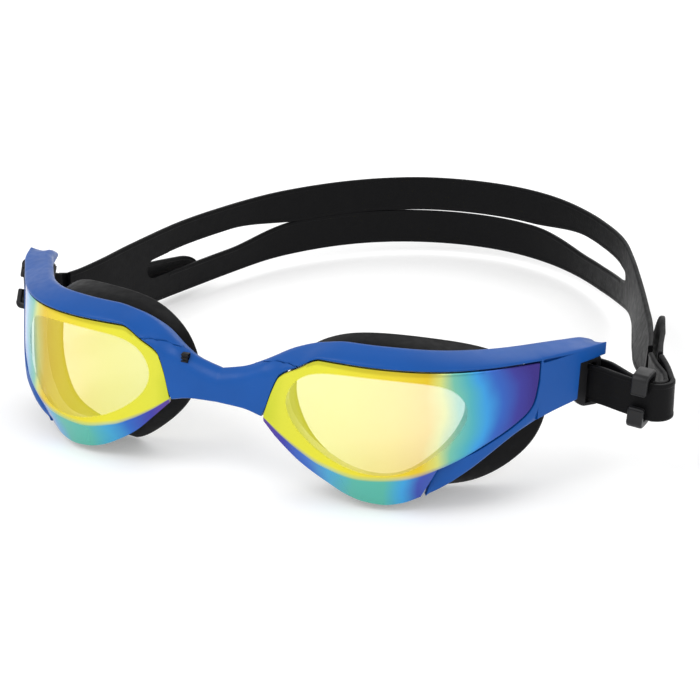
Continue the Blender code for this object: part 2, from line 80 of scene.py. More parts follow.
# The lens, as (length along the wrap, height).
LENS_TOP = [(12.9, -14.0), (14.9, -7.5), (16.6, -4.0), (21.2, -1.4), (26.9, 1.4), (41.9, 1.1), (60.8, 0.2),
            (82.8, -1.2)]
LENS_CREASE = [(12.9, -14.6), (17.6, -18.0), (23.1, -21.2), (28.5, -23.6), (38.7, -25.6), (48.2, -25.0),
               (57.5, -22.6), (67.3, -18.8), (79.3, -13.4), (81.4, -11.4), (82.4, -8.6), (82.8, -5.0)]
LENS_BOTTOM = [(12.9, -15.6), (17.0, -19.6), (22.6, -24.8), (28.3, -28.7), (33.8, -31.4), (39.1, -32.7),
               (44.2, -33.1), (49.1, -32.5), (54.0, -31.0)]
LENS_SPAN = (12.9, 82.8)
BEVEL_DEPTH = 4.0
BEVEL_FULL = 33.0
BEVEL_CLOSING = 2.9          # length over which the bevel ends at the lower rim
CHAMFER = 0.25
LENS_THICK = 1.8

# The frame.
BROW_TOP = [(0.0, -5.4), (6.0, -3.9), (12.0, -1.2), (18.0, 1.8), (25.0, 4.0), (32.0, 5.0), (42.0, 4.9),
            (60.0, 3.8), (80.0, 1.9), (95.0, 0.6), (99.0, 0.0), (102.0, -1.0), (104.2, -2.0)]
BRIDGE_BOTTOM = [(0.0, -13.3), (7.0, -13.6), (12.6, -14.8)]
BROW_DEPTH = 7.2
BRIDGE_DEPTH = 4.6
PROUD = 0.2
LENS_END = 83.2
PANEL_END = 95.0
HOOD_END = 104.2
HOOD_TAPER = 2.5             # how far the hood bends in behind the temple, and from where to where
HOOD_BEND = (93.0, 111.0)
PANEL_DEPTH = 1.6
HOOD_UNDERSIDE = -3.9
TEMPLE_BOTTOM = [(82.0, -15.6), (88.0, -14.2), (95.0, -12.9)]
RIM_TOP = [(55.3, -30.2), (57.5, -23.1), (67.3, -19.3), (79.4, -13.9), (81.7, -11.7), (82.8, -8.8),
           (83.2, -5.0), (86.0, -5.0)]
RIM_BOTTOM = [(55.0, -31.0), (58.5, -28.6), (67.6, -22.8), (78.4, -17.2), (86.0, -14.7)]
RIM_FRONT = [(55.0, -3.6), (58.5, -1.6), (62.0, -0.5), (67.0, 0.15), (86.0, 0.15)]
RIM_THICK = 1.7
# Where the bridge ends, for each corner of the brow's section from the lens line over the top to the back.
PLUG_EDGE = [21.5, 21.5, 21.5, 21.5, 21.5, 21.5, 20.2, 16.4, 11.8, 8.2, 7.4, 12.0, 19.0, 21.5]
CORNER_RADII = [0.3, 0.3, 0, 0, 0, 0, 1.4, 1.6, 1.0, 0.9, 0.7, 0.4, 0.4, 0.4]    # of those corners
PARTING_GAP = 0.25
PLUG_EASE = 0.35             # how far round a corner the parting line turns towards the next one
PARTING_START = 10.0         # where the bridge's rings begin to turn into the parting line
PARTING_FADE = 34.0          # where the frame's rings are plain sections again
BRIDGE_TO_BROW = (11.0, 23.0)    # lengths over which the bridge's section becomes the brow's
BRIDGE_DEEPENS = (6.0, 20.0)
LATCH_SPAN = (8.2, 10.0)     # the small ribbed latch at the right plug's end
LATCH_HEIGHTS = (-4.9, -2.7)
LATCH_DEPTH = 0.3
SLIT = (83.6, 94.2)          # the dark slit between hood and panel

# The eye opening, the clear carrier and the gasket.
EYE = [(18.6, -8.2), (22.2, -3.2), (30.0, -1.0), (46.7, -1.1), (58.6, -3.4), (63.6, -9.4), (60.6, -15.9),
       (51.6, -22.4), (43.5, -24.4), (34.4, -23.1), (25.6, -19.0), (19.8, -13.6)]
EYE_STEPS = 10
CARRIER_FRONT = 2.1
GASKET_FRONT = 4.6
GASKET_RIM = [(12.8, 14.0, -11.0), (16.6, 14.2, -2.2), (27.0, 17.2, 2.7), (44.0, 22.5, 2.6),
              (59.0, 32.2, -2.2), (69.0, 39.8, -12.0), (68.0, 35.6, -24.8), (58.0, 26.0, -33.0),
              (42.0, 17.0, FLOOR), (31.0, 14.2, FLOOR), (20.5, 12.6, -27.0), (14.6, 13.4, -19.6)]
GASKET_WALL = 1.6
GASKET_LIP = 1.2
THROAT_INNER = 1.2           # the throat's wall, as distances outside the eye opening
THROAT_OUTER = 2.2
FLANGE_SPAN = (52.0, 66.0)   # where the clear body's flange widens towards the temple
FLANGE_WIDE = 5.6

# The mirror coat: colours at lengths along the wrap, on the lens and on its bevel.
RAMP_SPAN = 100.0            # the length along the wrap that a colour ramp covers
COAT_COLOURS = [(13.0, (0.50, 0.54, 0.03)), (17.0, (0.62, 0.62, 0.045)), (30.0, (0.68, 0.64, 0.035)),
                (46.0, (0.72, 0.57, 0.03)), (53.0, (0.68, 0.48, 0.02)), (57.0, (0.58, 0.61, 0.16)),
                (61.0, (0.15, 0.45, 0.34)), (65.0, (0.07, 0.37, 0.43)), (69.0, (0.04, 0.29, 0.63)),
                (73.0, (0.03, 0.11, 0.44)), (78.0, (0.04, 0.04, 0.27)), (83.0, (0.035, 0.022, 0.19))]
BEVEL_COLOURS = [(13.0, (0.10, 0.05, 0.27)), (18.0, (0.05, 0.05, 0.35)), (25.0, (0.028, 0.14, 0.53)),
                 (30.0, (0.05, 0.37, 0.63)), (36.0, (0.10, 0.45, 0.37)), (45.0, (0.10, 0.45, 0.36)),
                 (50.0, (0.05, 0.35, 0.68)), (54.0, (0.05, 0.08, 0.42)), (66.0, (0.04, 0.20, 0.50)),
                 (83.0, (0.04, 0.03, 0.26))]
# Past the eye the coat's colour bands bend round the eye's outer end.
BAND_BEND = 0.045
BAND_MIDDLE = -9.5
BAND_MOST = 4.0
BAND_FADE = (56.0, 66.0)
WINDOW_PAINTED_LIGHT = 1.16            # painted light: the coat's colour is made brighter by this factor where it is see-through
COAT_OPACITY = 0.63          # over the eye opening
WINDOW_EDGE = 0.35           # how far inside the eye opening the coat is fully see-through

# The temple anchor, and its bar, which the strap's loops turn round.
ANCHOR_SPAN = (86.0, 103.0)
ANCHOR_FRONT = 1.9
ANCHOR_THICK = 1.6
ANCHOR_TOP = -4.2
ANCHOR_BOTTOM = [(86.0, -12.6), (95.0, -13.4), (97.5, -15.3), (99.0, -16.0), (103.0, -16.3)]
WINDOW_SPAN = (99.1, 101.6)
WINDOW_HEIGHT = (-15.2, -5.3)
BAR_LENGTH = 102.3
BAR_DEPTH = 2.7

# The strap: its route from the right temple to the left one, as x, y, top and bottom.
STRAP_THICK = 1.3
STRAP_ROUTE = [
    (-80.2, 60.8, -12.7, -23.2), (-78.7, 65.6, -12.6, -25.4), (-76.6, 74.0, -12.0, -28.2),
    (-74.4, 86.0, -11.2, -31.2), (-70.3, 106.0, -10.3, -32.0), (-65.0, 123.0, -10.0, -31.6),
    (-58.8, 139.0, -10.0, -31.0), (-52.0, 150.5, -10.0, -30.8), (-43.5, 161.0, -10.0, -30.8),
    (-34.0, 169.4, -10.0, -31.0), (-23.0, 175.8, -10.0, -31.3), (-11.0, 179.4, -10.1, -31.5),
    (1.0, 180.4, -10.2, -31.7), (12.0, 178.6, -10.1, -31.8), (23.0, 174.2, -10.0, -31.8),
    (33.4, 167.4, -10.0, -31.7), (43.9, 157.4, -9.8, -31.2), (52.2, 145.4, -9.6, -29.6),
    (59.0, 131.0, -9.4, -26.4), (65.2, 115.4, -9.0, -23.0), (71.0, 99.6, -8.4, -20.2),
    (76.7, 84.4, -7.6, -18.2), (82.6, 71.4, -6.8, -17.0), (87.4, 62.6, -6.8, -16.8)]
# Near the left temple the strap twists: how far back, and how far its bottom and top edges move outwards.
STRAP_LEAN = [(60.0, 0.0, 0.0), (71.4, -0.6, 3.0), (84.4, 0.4, 4.2), (99.6, 1.2, 3.7), (115.4, 1.9, 2.8),
              (131.0, 2.2, 2.0), (145.4, 1.2, 1.3), (157.4, 0.0, 0.0)]
SPLIT_AT = (94.0, 138.0)
SLOT_STUB = 6.85
SLOT_LONGER = 2.8            # how far the slot reaches past the split at the right
BRANCH_WIDTH = 7.6
# Points in metres for where the strap's pieces would go over from one body to the next; nothing here uses
# them.
YOKE_BLEND = ((0.0, -0.028, 0.0), (0.0, 0.008, 0.0))
# The widened pads at the back of the head.
PAD_MIDDLE = (-24.0, 175.3)
PAD_WIDTH = 10.5
PAD_FULL = 38.0              # distance from their middle to where they begin to narrow
PAD_NONE = 66.0              # and to where they are gone

# The loops through the anchors, the tails and the buckles.
LOOP_WIDTH = 9.6
LOOP_TURN = 2.3
LOOP_HEIGHT = -10.3
LEFT_OUTER = [(83.2, 41.0, -10.4), (86.5, 40.3, -10.7), (90.0, 40.0, -11.2), (93.5, 39.85, -11.6),
              (95.9, 39.75, -11.9)]
LEFT_INNER = [(83.6, 45.2, -10.4), (86.8, 43.4, -10.7), (90.0, 41.9, -11.2), (93.2, 41.35, -11.6),
              (95.9, 41.35, -11.9)]
LEFT_TURN_CENTRE = (95.9, 43.5)
LEFT_TURN_SWEEP = 128.0
LEFT_HEAD_END = (89.4, 59.0, -11.8)
LEFT_TAIL_START = (92.4, 57.8, -11.4)
LEFT_TAIL = [(91.9, 58.8, -11.3), (89.8, 64.0, -10.9), (87.6, 70.5, -10.4), (85.5, 77.0, -9.8),
             (83.6, 84.0, -9.0)]
RIGHT_OUTER_END = [(-84.7, 57.6, -16.9), (-83.4, 59.6, -17.7)]
RIGHT_INNER_END = [(-83.0, 57.3, -16.8), (-81.7, 59.1, -17.5)]
RIGHT_TAIL = [(-83.0, 60.3, -17.9), (-80.9, 66.5, -19.4), (-78.9, 75.0, -21.4), (-76.8, 87.0, -23.6),
              (-74.8, 98.0, -25.0), (-72.9, 108.1, -26.6), (-70.9, 116.8, -27.9)]
TAIL_POINT = 9.0
TAIL_TWIST = 1.3             # how far a tail's top leans outwards
BUCKLE_AT = {"left": ((93.0, 40.65, -11.5), (1.0, -0.02, -0.08)),
             "right": ((-84.7, 52.4, -14.5), (-0.05, 0.92, -0.40))}
BUCKLE_REACH = 3.2
BUCKLE_ROOM = (3.9, 10.4)
BUCKLE_BAR = 1.6
BUCKLE_RAIL = 1.8
BUCKLE_LENGTH = 4.0
BUCKLE_MOUTH = 3.2
FINGERS_PROUD = {"left": 0.0, "right": 1.9}

# The camera stands where the photograph was taken from.
CAMERA_AZIMUTH = math.radians(25.038)
CAMERA_ELEVATION = math.radians(21.953)
CAMERA_DISTANCE = 0.520
CAMERA_LENS = 111.80
CAMERA_AIM = (31.573, -0.188)    # across and up from the design space's zero

# The studio, in metres.
FLOOR_REACH = 3.0
FLOOR_DROP = 0.0006              # keeps the floor just clear of the gaskets
FLOOR_GLOW = 0.26
WORLD_STRENGTH = 0.80
LAMPS = (("key", (-0.5, -0.7, 0.9), 0.7, 5.5), ("fill", (0.9, -0.4, 0.6), 0.8, 2.0),
         ("back", (0.1, 0.9, 0.8), 0.8, 3.0))


# ---- Curves and sections ----

def read_off(points, at):
    """Height (or depth) at a length, on a smooth curve through the points that adds no bumps."""
    xs, ys = np.array(points, dtype=float).T
    widths = np.diff(xs)
    slopes = np.diff(ys) / widths
    before, after = slopes[:-1], slopes[1:]
    same = before * after > 0
    middle = np.where(same, 2 * before * after / np.where(same, before + after, 1.0), 0.0)
    tangents = np.concatenate([[slopes[0]], middle, [slopes[-1]]])
    at = min(max(at, xs[0]), xs[-1])
    i = min(int(np.searchsorted(xs, at, side="right")) - 1, len(widths) - 1)
    t, w = (at - xs[i]) / widths[i], widths[i]
    return float((2 * t ** 3 - 3 * t ** 2 + 1) * ys[i] + (t ** 3 - 2 * t ** 2 + t) * w * tangents[i]
                 + (3 * t ** 2 - 2 * t ** 3) * ys[i + 1] + (t ** 3 - t ** 2) * w * tangents[i + 1])


def smooth_step(value, start, full):
    """From 0 at start to 1 at full, level at both ends."""
    t = min(max((value - start) / (full - start), 0.0), 1.0)
    return t * t * (3.0 - 2.0 * t)


def wrap_table(step=0.25, reach=130.0):
    """The plan curve as rows of length, x, y and heading."""
    rows = [(0.0, 0.0, 0.0, 0.0)]
    while rows[-1][0] < reach:
        length, x, y, _ = rows[-1]
        middle = WRAP_ANGLE * smooth_step(length + step / 2, WRAP_START, WRAP_END)
        heading = WRAP_ANGLE * smooth_step(length + step, WRAP_START, WRAP_END)
        rows.append((length + step, x + step * math.cos(middle), y + step * math.sin(middle), heading))
    return np.array(rows)


WRAP = wrap_table()


def on_wrap(length, height, depth, side):
    """A point behind the front surface, from its length along the wrap, its height and its depth."""
    x, y, heading = (np.interp(length, WRAP[:, 0], WRAP[:, column]) for column in (1, 2, 3))
    return (side * (x - depth * math.sin(heading)), y + depth * math.cos(heading) + LEAN * height, height)


def spread(start, end, step):
    """Evenly spaced values from start to end, about a step apart."""
    return np.linspace(start, end, max(int(round((end - start) / step)), 1) + 1)


def smooth_path(points, samples, closed=False):
    """Points along a Catmull-Rom curve through the given ones."""
    knots = np.array(points, dtype=float)
    count = len(knots)
    spans = count if closed else count - 1
    path = []
    for span in range(spans):
        if closed:
            before, start, end, after = (knots[(span + k) % count] for k in (-1, 0, 1, 2))
        else:
            before, start = knots[max(span - 1, 0)], knots[span]
            end, after = knots[span + 1], knots[min(span + 2, count - 1)]
        for step in range(samples):
            t = step / samples
            path.append(0.5 * (2 * start + (end - before) * t
                               + (2 * before - 5 * start + 4 * end - after) * t ** 2
                               + (3 * start - before - 3 * end + after) * t ** 3))
    if not closed:
        path.append(knots[-1])
    return np.array(path)


def run_lengths(path):
    """Length along a path, in plan, at each of its points."""
    steps = np.hypot(*np.diff(np.asarray(path)[:, :2], axis=0).T)
    return np.concatenate([[0.0], np.cumsum(steps)])


def round_corner(before, corner, after, radius, t):
    """A point on the curve that rounds a corner, at a share t of the way round it."""
    ends = []
    for other in (before, after):
        away = other - corner
        ends.append(corner + away * min(radius / max(np.linalg.norm(away), 1e-6), 0.45))
    return (1 - t) ** 2 * ends[0] + 2 * t * (1 - t) * corner + t * t * ends[1]


def soften(corners, radii, steps=4):
    """A closed outline with its corners rounded. A radius of 0 keeps a point as it is."""
    corners = np.array(corners, dtype=float)
    outline = []
    for i, corner in enumerate(corners):
        if radii[i] == 0:
            outline.append(corner)
            continue
        before, after = corners[i - 1], corners[(i + 1) % len(corners)]
        outline += [round_corner(before, corner, after, radii[i], step / steps) for step in range(steps + 1)]
    return outline


# ---- Meshes ----

def loft_faces(rings, points, closed, first=0):
    """Quads through rings of equal count, with a flat cap at each end unless the rings close."""
    faces = []
    for ring in range(rings if closed else rings - 1):
        here, there = first + ring * points, first + (ring + 1) % rings * points
        for i in range(points):
            j = (i + 1) % points
            faces.append((here + i, here + j, there + j, there + i))
    if not closed:
        faces.append(tuple(first + i for i in reversed(range(points))))
        faces.append(tuple(first + (rings - 1) * points + i for i in range(points)))
    return faces


def new_piece(name, shells, material, fields=None, smooth=38.0):
    """One object from several lofts, each (rings, closed). fields maps an attribute's name to its values."""
    vertices, faces = [], []
    for rings, closed in shells:
        rings = np.array(rings, dtype=float)
        faces += loft_faces(rings.shape[0], rings.shape[1], closed, first=len(vertices))
        vertices += list(rings.reshape(-1, 3))
    metres = (np.array(vertices) - np.array(ORIGIN)) * MM
    mesh = bpy.data.meshes.new(name)
    mesh.from_pydata(metres.tolist(), [], faces)
    mesh.validate()
    mesh.materials.append(material)
    obj = bpy.data.objects.new(name, mesh)
    bpy.context.scene.collection.objects.link(obj)
    for field, values in (fields or {}).items():
        attribute = mesh.attributes.new(field, "FLOAT", "POINT")
        attribute.data.foreach_set("value", np.array(values, dtype=np.float32).ravel())
    turn_outwards(mesh)
    mesh.shade_smooth()
    mesh.set_sharp_from_angle(angle=math.radians(smooth))
    return obj


def turn_outwards(mesh):
    """Makes every shell's faces point out of it."""
    work = bmesh.new()
    work.from_mesh(mesh)
    bmesh.ops.recalc_face_normals(work, faces=work.faces)
    work.to_mesh(mesh)
    work.free()


def rounded_end(ring, outwards, radius, steps=4):
    """Rings that round off a loft's end: from full size to drawn in by the radius."""
    ring = np.array(ring, dtype=float)
    middle = ring.mean(axis=0)
    outwards = np.array(outwards, dtype=float)
    outwards /= np.linalg.norm(outwards)
    inwards = middle - ring
    reach = np.maximum(np.linalg.norm(inwards, axis=1), 1e-6)[:, None]
    inwards /= reach
    rings = []
    for step in range(steps + 1):
        angle = math.pi / 2 * step / steps
        draw = np.minimum(radius * (1 - math.cos(angle)), 0.8 * reach)
        rings.append(ring + outwards * radius * (math.sin(angle) - 1) + inwards * draw)
    return rings


def tucked_end(ring, outwards, radius=0.45, depth=1.5):
    """Rings that round off a loft's end and close it deep inside, whatever the end's shape."""
    rings = rounded_end(ring, outwards, radius)
    outwards = np.array(outwards, dtype=float) / np.linalg.norm(outwards)
    last = rings[-1]
    return rings + [last.mean(axis=0) + (last - last.mean(axis=0)) * 0.6 - outwards * depth]


def with_rounded_ends(rings, radius, steps=4):
    """A loft's rings with both of its ends rounded off."""
    rings = [np.array(ring, dtype=float) for ring in rings]
    start = rings[0].mean(axis=0) - rings[1].mean(axis=0)
    end = rings[-1].mean(axis=0) - rings[-2].mean(axis=0)
    return (list(reversed(rounded_end(rings[0], start, radius, steps))) + rings[1:-1]
            + rounded_end(rings[-1], end, radius, steps))


def place(obj, body, node):
    """Parents a piece to the empty of the body it rides on, and hides the CAD node it stands for."""
    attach(obj, body)
    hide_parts(node)
    return obj


# ---- Materials ----

class Recipe:
    """A material's node tree, with a short way to add and wire nodes."""

    def __init__(self, name):
        self.material = bpy.data.materials.new(name)
        self.material.use_nodes = True
        self.tree = self.material.node_tree
        self.shader = self.tree.nodes["Principled BSDF"]

    def add(self, kind, inputs=None, **settings):
        node = self.tree.nodes.new(kind)
        for setting, value in settings.items():
            setattr(node, setting, value)
        for socket, value in (inputs or {}).items():
            if isinstance(value, bpy.types.NodeSocket):
                self.tree.links.new(value, node.inputs[socket])
            else:
                node.inputs[socket].default_value = value
        return node

    def feed(self, socket, value):
        if isinstance(value, bpy.types.NodeSocket):
            self.tree.links.new(value, self.shader.inputs[socket])
        else:
            self.shader.inputs[socket].default_value = value

    def place(self):
        return self.add("ShaderNodeTexCoord").outputs["Object"]

    def noise(self, size, detail=2.0):
        """Noise whose patches are about size millimetres."""
        inputs = {"Vector": self.place(), "Scale": 1.0 / (size * MM), "Detail": detail}
        return self.add("ShaderNodeTexNoise", inputs).outputs["Fac"]

    def dots(self, size):
        inputs = {"Vector": self.place(), "Scale": 1.0 / (size * MM)}
        return self.add("ShaderNodeTexVoronoi", inputs).outputs["Distance"]

    def between(self, value, low, high, start=0.3, end=0.7):
        inputs = {"Value": value, "From Min": start, "From Max": end, "To Min": low, "To Max": high}
        return self.add("ShaderNodeMapRange", inputs).outputs["Result"]

    def bump(self, value, height, normal=None):
        inputs = {"Height": value, "Strength": 1.0, "Distance": height * MM}
        if normal is not None:
            inputs["Normal"] = normal
        return self.add("ShaderNodeBump", inputs).outputs["Normal"]

    def shades(self, value, colour, low, high):
        """A colour that goes from low to high times its brightness with a value."""
        ramp = self.add("ShaderNodeValToRGB", {"Fac": value})
        for element, factor in zip(ramp.color_ramp.elements, (low, high)):
            element.color = (*(min(channel * factor, 1.0) for channel in colour), 1.0)
        return ramp.outputs["Color"]

    def ramp(self, value, stops):
        """Colours along a length in millimetres."""
        ramp = self.add("ShaderNodeValToRGB", {"Fac": value})
        elements = ramp.color_ramp.elements
        for _ in stops[2:]:
            elements.new(0.5)
        for element, (length, colour) in zip(elements, stops):
            element.position = length / RAMP_SPAN
            element.color = (*colour, 1.0)
        return ramp.outputs["Color"]

    def field(self, name, scale=1.0):
        value = self.add("ShaderNodeAttribute", attribute_name=name).outputs["Fac"]
        return self.add("ShaderNodeMath", {0: value, 1: scale}, operation="MULTIPLY").outputs["Value"]


def moulded(name, colour, roughness, grain, height, variation=0.10, pattern="noise", specular=0.5):
    """Moulded plastic or rubber: mottled colour, uneven gloss and a fine surface grain."""
    recipe = Recipe(name)
    patches = recipe.noise(9.0, 3.0)
    recipe.feed("Base Color", recipe.shades(patches, colour, 1.0 - variation, 1.0 + variation))
    recipe.feed("Roughness", recipe.between(recipe.noise(2.2, 4.0), roughness - 0.06, roughness + 0.06))
    recipe.feed("Specular IOR Level", specular)
    texture = recipe.dots(grain) if pattern == "dots" else recipe.noise(grain, 2.0)
    recipe.feed("Normal", recipe.bump(recipe.noise(5.0), 0.02, recipe.bump(texture, height)))
    return recipe


def mirror_coat():
    """The lens's coating, whose colour changes round the wrap and which is see-through over the eye."""
    recipe = Recipe("mirror_coat")
    shift = recipe.between(recipe.noise(14.0), -0.012, 0.012)
    run = recipe.add("ShaderNodeMath", {0: recipe.field("run", 1.0 / RAMP_SPAN), 1: shift}).outputs["Value"]
    colour = recipe.add("ShaderNodeMix", {0: recipe.field("bevel"), 6: recipe.ramp(run, COAT_COLOURS),
                                          7: recipe.ramp(run, BEVEL_COLOURS)}, data_type="RGBA").outputs[2]
    inside = recipe.between(recipe.field("eye"), 1.0, 0.0, -WINDOW_EDGE, 0.0)
    # Painted light: the coat's colour is made brighter over the eye opening, standing in for light coming
    # through the lens.
    painted_light = recipe.between(inside, 1.0, WINDOW_PAINTED_LIGHT, 0.0, 1.0)
    colour_with_painted_light = recipe.add("ShaderNodeVectorMath", {0: colour, "Scale": painted_light}, operation="SCALE")
    recipe.feed("Base Color", colour_with_painted_light.outputs["Vector"])
    recipe.feed("Metallic", 0.7)
    recipe.feed("Roughness", recipe.between(recipe.noise(3.0, 4.0), 0.14, 0.20))
    recipe.feed("Normal", recipe.bump(recipe.noise(7.0), 0.01))
    coated = recipe.between(inside, 1.0, COAT_OPACITY, 0.0, 1.0)
    front = recipe.between(recipe.field("front"), 0.0, 1.0, 0.4, 0.6)
    seen = recipe.add("ShaderNodeMath", {0: coated, 1: front}, operation="MULTIPLY")
    recipe.feed("Alpha", seen.outputs["Value"])
    return recipe.material


def clear_plastic():
    """The pale tinted body behind the coat."""
    recipe = moulded("clear_plastic", (0.42, 0.44, 0.38), 0.14, 0.6, 0.004, 0.05)
    recipe.feed("IOR", 1.56)
    return recipe.material


def blue_plastic():
    """The satin blue of the bridge and the frame."""
    return moulded("satin_blue", (0.005, 0.075, 0.320), 0.36, 0.22, 0.006, specular=0.2).material


def gasket_silicone():
    """Soft matt black, for the eye cups."""
    return moulded("gasket_silicone", (0.003, 0.003, 0.0035), 0.50, 0.35, 0.008, specular=0.06).material


def anchor_plastic():
    """Hard black, for the temple anchors and the latch."""
    return moulded("anchor_black", (0.005, 0.005, 0.006), 0.36, 0.25, 0.006, specular=0.2).material


def buckle_plastic():
    """A slightly greyer hard black, for the buckles."""
    return moulded("buckle_black", (0.009, 0.009, 0.010), 0.40, 0.25, 0.008, specular=0.3).material


def strap_silicone():
    """Black rubber with a finely dotted surface, for every part of the strap."""
    return moulded("strap_silicone", (0.004, 0.004, 0.0045), 0.46, 0.55, 0.03, specular=0.09,
                   pattern="dots").material


MATERIALS = {
    "frame_blue": blue_plastic,
    "gasket_silicone": gasket_silicone,
    "anchor_black": anchor_plastic,
    "buckle_black": buckle_plastic,
    "strap_silicone": strap_silicone,
    "carrier_clear": clear_plastic,
    "lens_mirror": mirror_coat,
}


# ---- The bridge and the frame ----

def lens_line(length):
    """Where the frame's lower edge meets the lens's top."""
    return read_off(LENS_TOP, length) + GAP


def brow_corners(length):
    """Corners of the brow's section, as (height, depth): from the lens line up the front, down the back."""
    top, line = read_off(BROW_TOP, length), lens_line(length)
    bottom, under, panel = line, line + 0.4, PANEL_DEPTH + 1.0
    if length > LENS_END:
        bottom, under, panel = read_off(TEMPLE_BOTTOM, length), HOOD_UNDERSIDE, PANEL_DEPTH
    if length > PANEL_END:
        bottom = HOOD_UNDERSIDE - 0.1
    rise = top - line
    hood = HOOD_TAPER * smooth_step(length, *HOOD_BEND)
    closing = 1.0 - smooth_step(length, SLIT[0], SLIT[1])
    slit_low, slit_high, slit_depth = line - 0.45 * closing, line + 0.35 * closing, -PROUD + 1.0 * closing
    if not SLIT[0] < length < SLIT[1]:
        slit_low = slit_high = bottom + 0.45 if length <= LENS_END else line
        slit_depth = -PROUD
    corners = [(bottom, 0.4), (bottom + 0.3, -PROUD), (slit_low, -PROUD), (slit_low, slit_depth),
               (slit_high, slit_depth), (slit_high, -PROUD), (line + 0.15 * rise + 0.4, -PROUD),
               (line + 0.6 * rise, 1.6), (top - 0.3, 4.4), (top, 5.6), (top - 0.9, BROW_DEPTH),
               (under + 0.2, BROW_DEPTH), (under, panel), (bottom, PANEL_DEPTH)]
    return [(height, depth + hood) for height, depth in corners]


def bridge_corners(length):
    """The bridge's section, with as many corners as the brow's."""
    top, bottom = read_off(BROW_TOP, length), read_off(BRIDGE_BOTTOM, length)
    if length > BRIDGE_BOTTOM[-1][0]:
        bottom = lens_line(length)
    depth = BRIDGE_DEPTH + (BROW_DEPTH - BRIDGE_DEPTH) * smooth_step(length, *BRIDGE_DEEPENS)
    low = bottom + 0.6
    return [(bottom, 0.6), (bottom + 0.4, -PROUD), (low, -PROUD), (low, -PROUD), (low, -PROUD),
            (low, -PROUD), (top - 2.8, -0.1), (top - 1.2, 0.7), (top - 0.3, 1.9), (top, 0.6 * depth),
            (top - 1.0, depth), (bottom + 0.9, depth), (bottom, 0.8 * depth), (bottom, 0.4 * depth)]


def outer_corners(length):
    """The section that the bridge and the frame share: one runs into the other along the brow."""
    share = smooth_step(length, *BRIDGE_TO_BROW)
    brow = np.array(brow_corners(length))
    if share == 1.0:
        return brow
    return (1.0 - share) * np.array(bridge_corners(length)) + share * brow


def brow_ring(length, side, pull=0.0):
    """One ring of the bridge or frame. pull moves it from a plain section (0) to the parting line (1)."""
    ring = []
    count = len(CORNER_RADII)
    for k, radius in enumerate(CORNER_RADII):
        for t in (0.0, 0.33, 0.67, 1.0) if radius else (0.5,):
            near = PLUG_EDGE[k - 1] if t < 0.5 else PLUG_EDGE[(k + 1) % count]
            edge = PLUG_EDGE[k] + (near - PLUG_EDGE[k]) * PLUG_EASE * abs(2 * t - 1)
            at = length + pull * (edge - PLUG_EDGE[0])
            corners = outer_corners(at)
            point = round_corner(corners[k - 1], corners[k], corners[(k + 1) % count], radius, t)
            ring.append(on_wrap(at, *point, side))
    return ring


def make_bridge(material):
    """The nose bridge, out to the curved parting line on either side."""
    rings = []
    for length in spread(0.0, PLUG_EDGE[0] - PARTING_GAP, 0.6):
        pull = smooth_step(length, PARTING_START, PLUG_EDGE[0] - PARTING_GAP)
        rings.append((length, pull))
    left = [brow_ring(length, 1, pull) for length, pull in rings]
    right = [brow_ring(length, -1, pull) for length, pull in rings]
    middle = list(reversed(right[:-1]))[:-1] + left[:-1]
    ends = [tucked_end(last[-1], np.subtract(last[-1], last[-3]).mean(axis=0)) for last in (right, left)]
    bridge = new_piece("bridge", [(list(reversed(ends[0])) + middle + ends[1], False)], material)
    return place(bridge, "frame", "nose_bridge")


def rim_ring(length, side):
    """One ring of the lower rim, which runs from below the lens to the temple."""
    top, bottom = read_off(RIM_TOP, length), read_off(RIM_BOTTOM, length)
    front = -read_off(RIM_FRONT, length) - 0.05 * smooth_step(length, 76.0, 83.0)
    front += 0.3 * smooth_step(length, 83.2, 84.5)
    tall = top - bottom
    corners = [(bottom, front + 0.7), (bottom + 0.3 * tall, front), (top, front - 0.05),
               (top, front + RIM_THICK), (bottom + 0.1 * tall, front + RIM_THICK + 0.4)]
    radii = [0.4, 0.9, 0.25, 0.2, 0.4]
    return [on_wrap(length, *point, side) for point in soften(corners, radii)]


def make_frame(name, side, material):
    """Brow, temple hood, panel and lower rim of one side."""
    edge = PLUG_EDGE[0]
    stations = np.concatenate([spread(edge, PARTING_FADE, 0.5), spread(34.6, 82.9, 0.8), [83.1, 83.25, 83.5],
                               spread(84.0, 94.6, 0.5), [94.9, 95.05, 95.2], spread(95.7, HOOD_END, 0.45)])
    rings = [brow_ring(length, side, 1.0 - smooth_step(length, edge, PARTING_FADE)) for length in stations]
    start = tucked_end(rings[0], np.subtract(rings[0], rings[2]).mean(axis=0))
    end = rounded_end(rings[-1], np.subtract(rings[-1], rings[-2]).mean(axis=0), 1.1)
    rings = list(reversed(start)) + rings[1:-1] + end
    rim = [rim_ring(length, side) for length in spread(RIM_TOP[0][0], 85.0, 0.6)]
    rim = list(reversed(rounded_end(rim[0], np.subtract(rim[0][0], rim[1][0]), 0.15))) + rim[1:]
    piece = new_piece(name, [(rings, False), (rim, False)], material)
    return place(piece, "frame", name.replace("shell", "frame"))


def make_latch(name, side, material):
    """The small ribbed end of the bridge's plug, seen in the brow beside the nose."""
    shells = []
    low, high = LATCH_HEIGHTS
    bars = [(low, high, 0.0)] + [(low + (high - low) * t - 0.18, low + (high - low) * t + 0.18, -0.3)
                                 for t in (0.15, 0.5, 0.85)]
    for bottom, top, proud in bars:
        rings = [plate_ring(length, top, bottom, LATCH_DEPTH + proud, LATCH_DEPTH + 1.2, side, 0.1)
                 for length in spread(*LATCH_SPAN, 0.4)]
        shells.append((rings, False))
    piece = new_piece(name, shells, material)
    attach(piece, "frame")
    return piece


# ---- The lens, the carrier and the gasket ----

def eye_outline(offset):
    """The eye opening's smooth outline, moved outwards in the lens's own surface."""
    path = smooth_path(EYE, EYE_STEPS, closed=True)
    tangents = np.roll(path, -1, axis=0) - np.roll(path, 1, axis=0)
    tangents /= np.linalg.norm(tangents, axis=1)[:, None]
    return path + offset * np.stack([-tangents[:, 1], tangents[:, 0]], axis=1)


